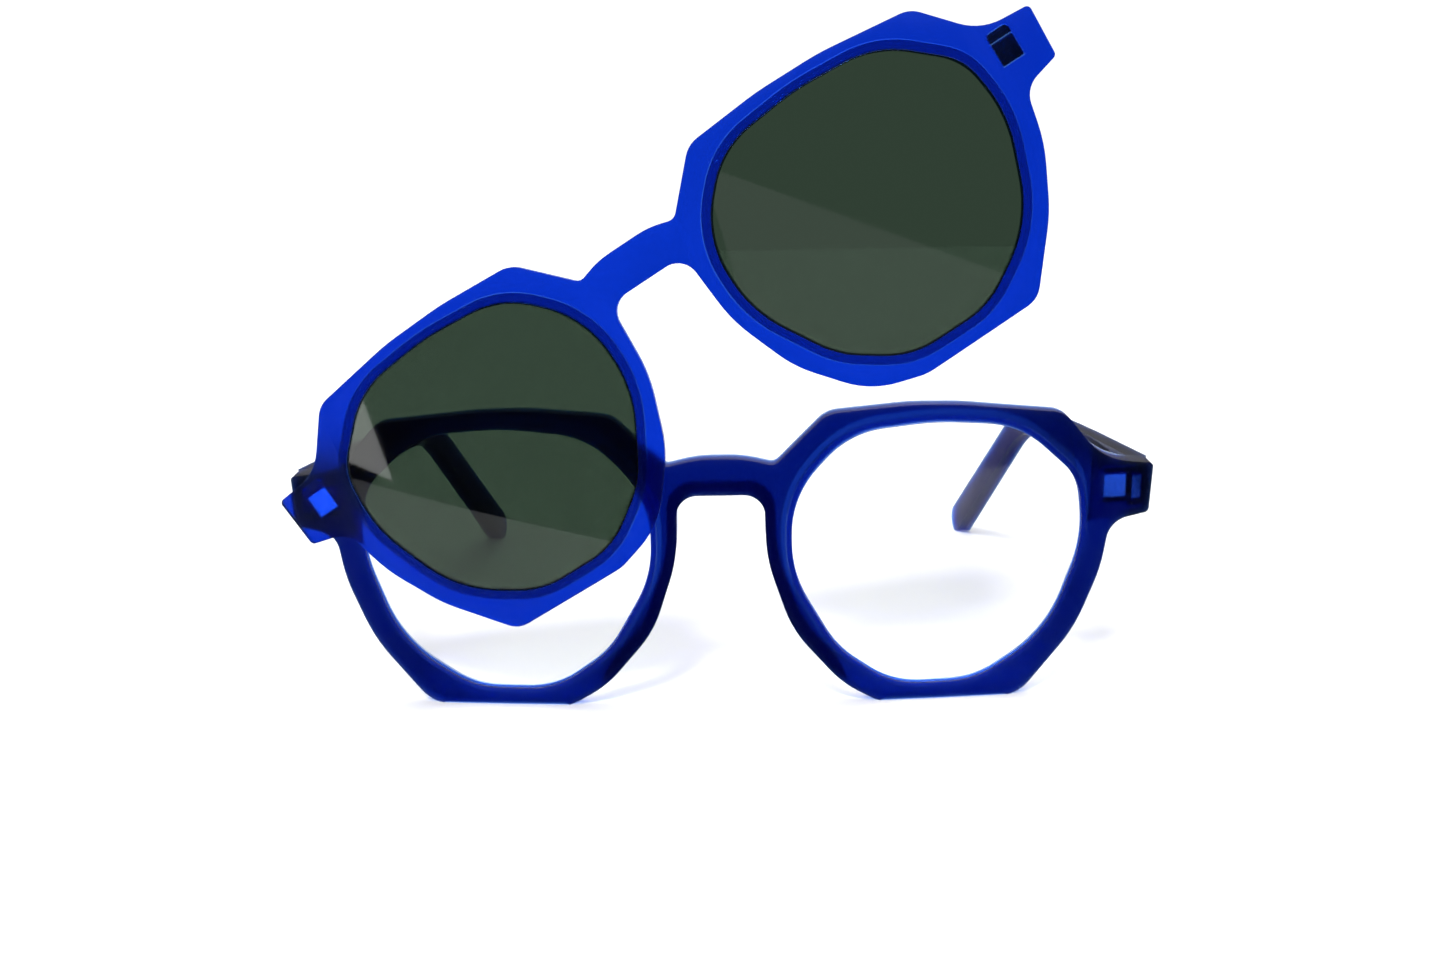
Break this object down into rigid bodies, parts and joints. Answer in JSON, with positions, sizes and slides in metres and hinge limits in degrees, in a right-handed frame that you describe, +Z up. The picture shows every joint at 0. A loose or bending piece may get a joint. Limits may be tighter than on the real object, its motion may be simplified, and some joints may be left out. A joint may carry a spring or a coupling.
{
  "type": "spectacles with a magnetic sun clip",
  "caption": "Translucent blue plastic spectacles with folding temples and a magnetic clip of tinted sun lenses that swings up about one end magnet.",
  "frame": {"origin": "on the surface the spectacles stand on, on their centre line, midway between the clip and the temple tips", "axes": "+X to the right as seen from the front, +Y from the front back along the temples, +Z up"},
  "size_m": [0.1419, 0.1491, 0.1095],
  "materials": {
    "frame_plastic": "satin translucent blue",
    "clip_plastic": "satin translucent blue, thinner and brighter",
    "temple_plastic": "satin translucent blue",
    "clear_lens": "clear, polished",
    "tinted_lens": "grey-green tint, polished",
    "nickel": "bright nickel plate",
    "hinge_steel": "satin",
    "screw_steel": "turned",
    "filler": "clear blue glue"
  },
  "bodies": {
    "front": {"frame_front": "frame_plastic", "lens_left": "clear_lens", "lens_right": "clear_lens", "magnet_front_left": "nickel", "magnet_front_right": "nickel", "magnet_cover_left": "filler", "magnet_cover_right": "filler", "hinge_front_left": "hinge_steel", "hinge_front_right": "hinge_steel", "hinge_screw_left": "screw_steel", "hinge_screw_right": "screw_steel"},
    "temple_left": {"temple_left": "temple_plastic", "hinge_temple_left": "hinge_steel"},
    "temple_right": {"temple_right": "temple_plastic", "hinge_temple_right": "hinge_steel"},
    "clip": {"clip_frame": "clip_plastic", "clip_lens_left": "tinted_lens", "clip_lens_right": "tinted_lens", "clip_magnet_left": "nickel", "clip_magnet_right": "nickel", "clip_potting_left": "filler", "clip_potting_right": "filler"}
  },
  "joints": [
    {"name": "temple_left_fold", "type": "hinge", "parent": "front", "child": "temple_left", "pos_m": [-0.065, -0.05753, 0.0355], "axis": [0, 0, -1], "range_deg": [0, 86]},
    {"name": "temple_right_fold", "type": "hinge", "parent": "front", "child": "temple_right", "pos_m": [0.065, -0.05753, 0.0355], "axis": [0, 0, 1], "range_deg": [0, 80]},
    {"name": "clip_swing", "type": "hinge", "parent": "front", "child": "clip", "pos_m": [-0.0641, -0.06388, 0.03489], "axis": [-0.1801, -0.9783, -0.1028], "range_deg": [-32.7, 57.3]}
  ]
}
